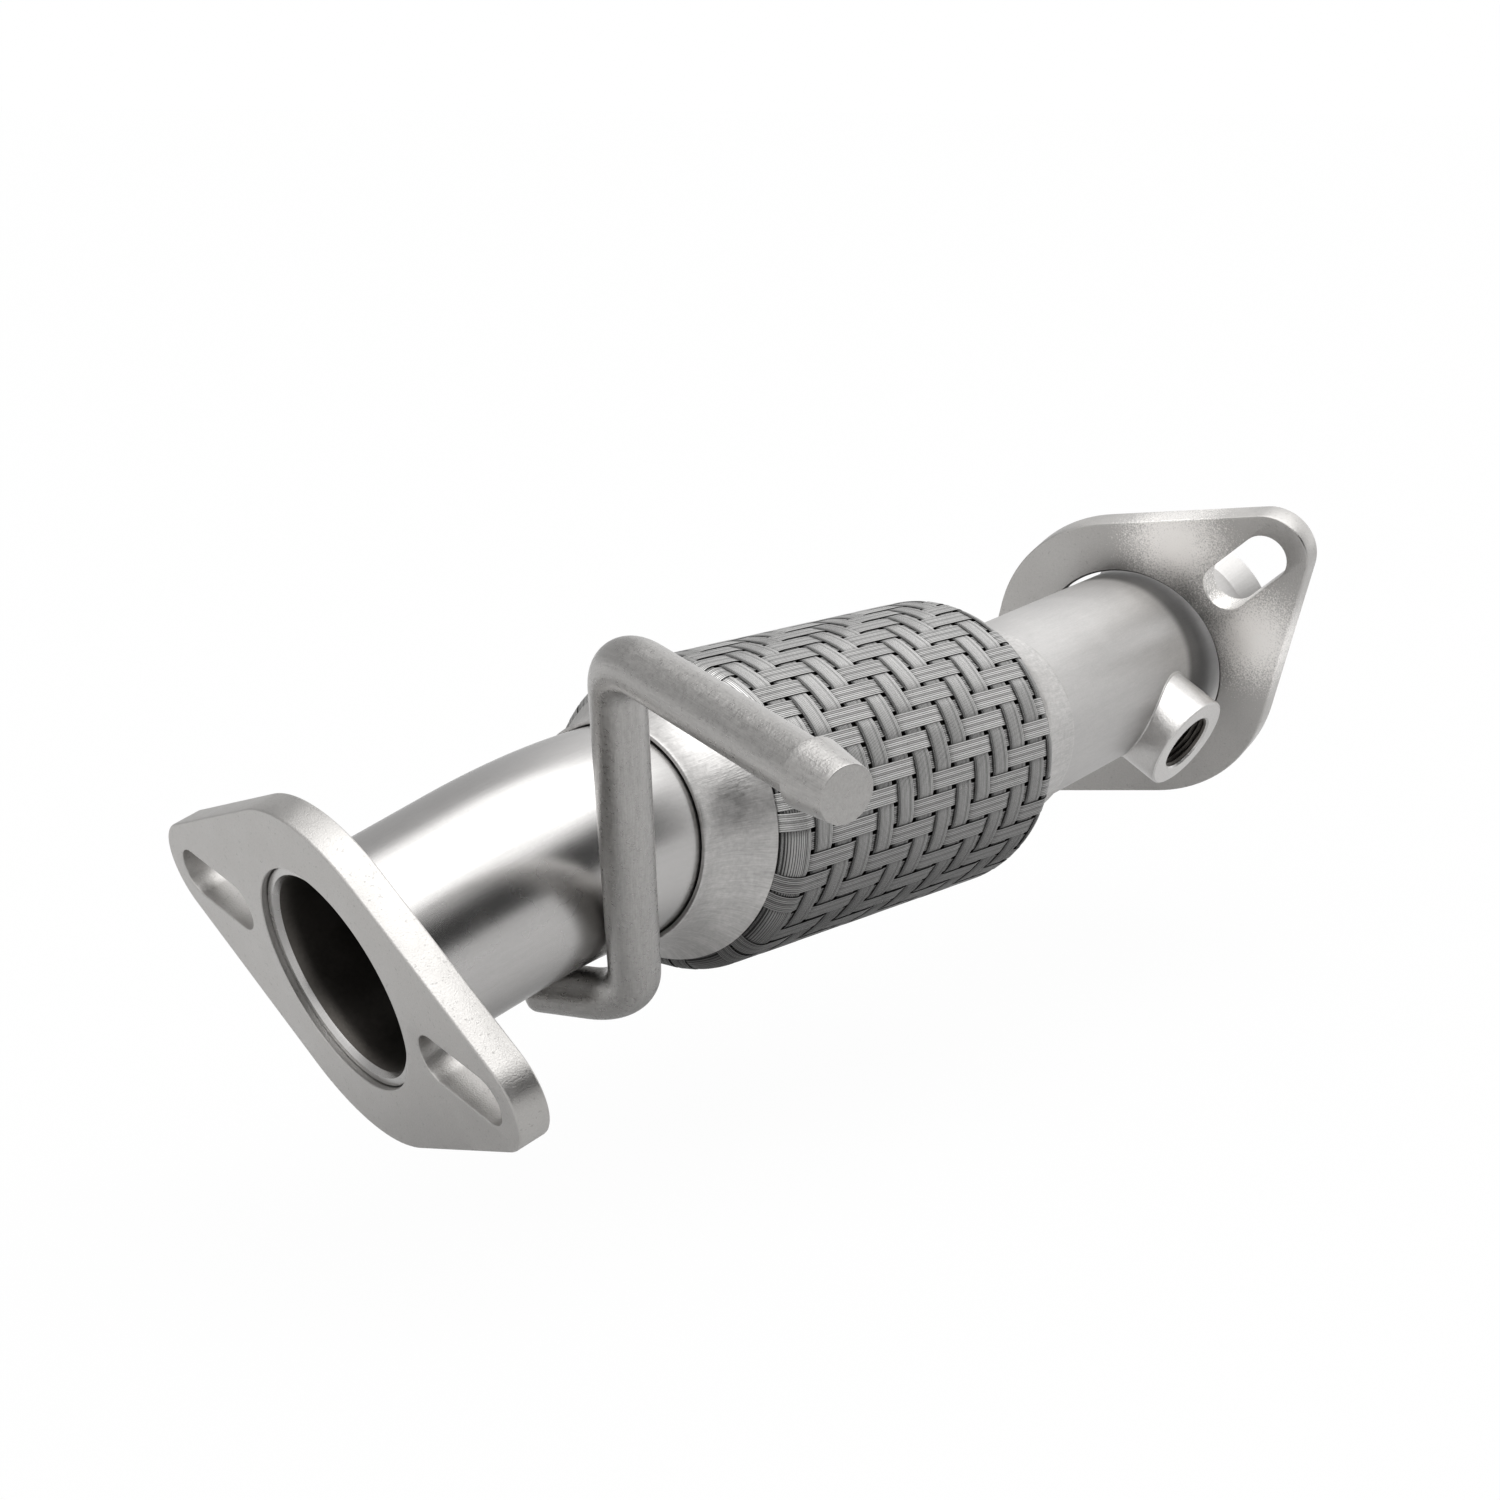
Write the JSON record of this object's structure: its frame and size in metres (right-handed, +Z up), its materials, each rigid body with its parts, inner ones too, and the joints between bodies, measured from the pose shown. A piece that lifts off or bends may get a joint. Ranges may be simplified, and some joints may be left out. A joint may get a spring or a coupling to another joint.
{
  "type": "exhaust front pipe",
  "caption": "Bent steel exhaust front pipe with a braided flex coupling, slotted two-ear flanges, a sensor bung and a bent hanger rod.",
  "frame": {"origin": "centre of the inlet flange's front face, where the pipe is bolted on", "axes": "+X along the flex coupling from the inlet to the outlet, +Z up as in the picture, +Y to the side away from the hanger rod"},
  "size_m": [0.419, 0.223, 0.1247],
  "materials": {
    "pipe_steel": "satin",
    "plate_steel": "fine pitted",
    "braid_steel": "woven wire ribbons",
    "rod_steel": "grainy",
    "bung_steel": "rough turned",
    "liner_steel": "plain"
  },
  "bodies": {
    "inlet_side": {"inlet_flange": "plate_steel", "inlet_pipe": "pipe_steel", "inlet_cap": "pipe_steel", "braid_sleeve": "braid_steel", "bellows": "liner_steel", "inner_liner": "liner_steel", "hanger_rod": "rod_steel", "hanger_weld": "rod_steel"},
    "outlet_side": {"outlet_cap": "pipe_steel", "outlet_pipe": "pipe_steel", "sensor_bung": "bung_steel"},
    "loose_flange": {"outlet_flange": "plate_steel"}
  },
  "joints": [
    {"name": "flex_bend", "type": "hinge", "parent": "inlet_side", "child": "outlet_side", "pos_m": [0.15421, -0.01917, 0.02204], "axis": [0, 1, 0], "range_deg": [-6, 6], "stiffness_Nm_per_rad": 90, "deforming": ["braid_sleeve", "bellows"]},
    {"name": "flange_swivel", "type": "hinge", "parent": "outlet_side", "child": "loose_flange", "pos_m": [0.3399, -0.00402, 0.02587], "axis": [0.99, 0.1367, 0.0346], "continuous": true}
  ]
}
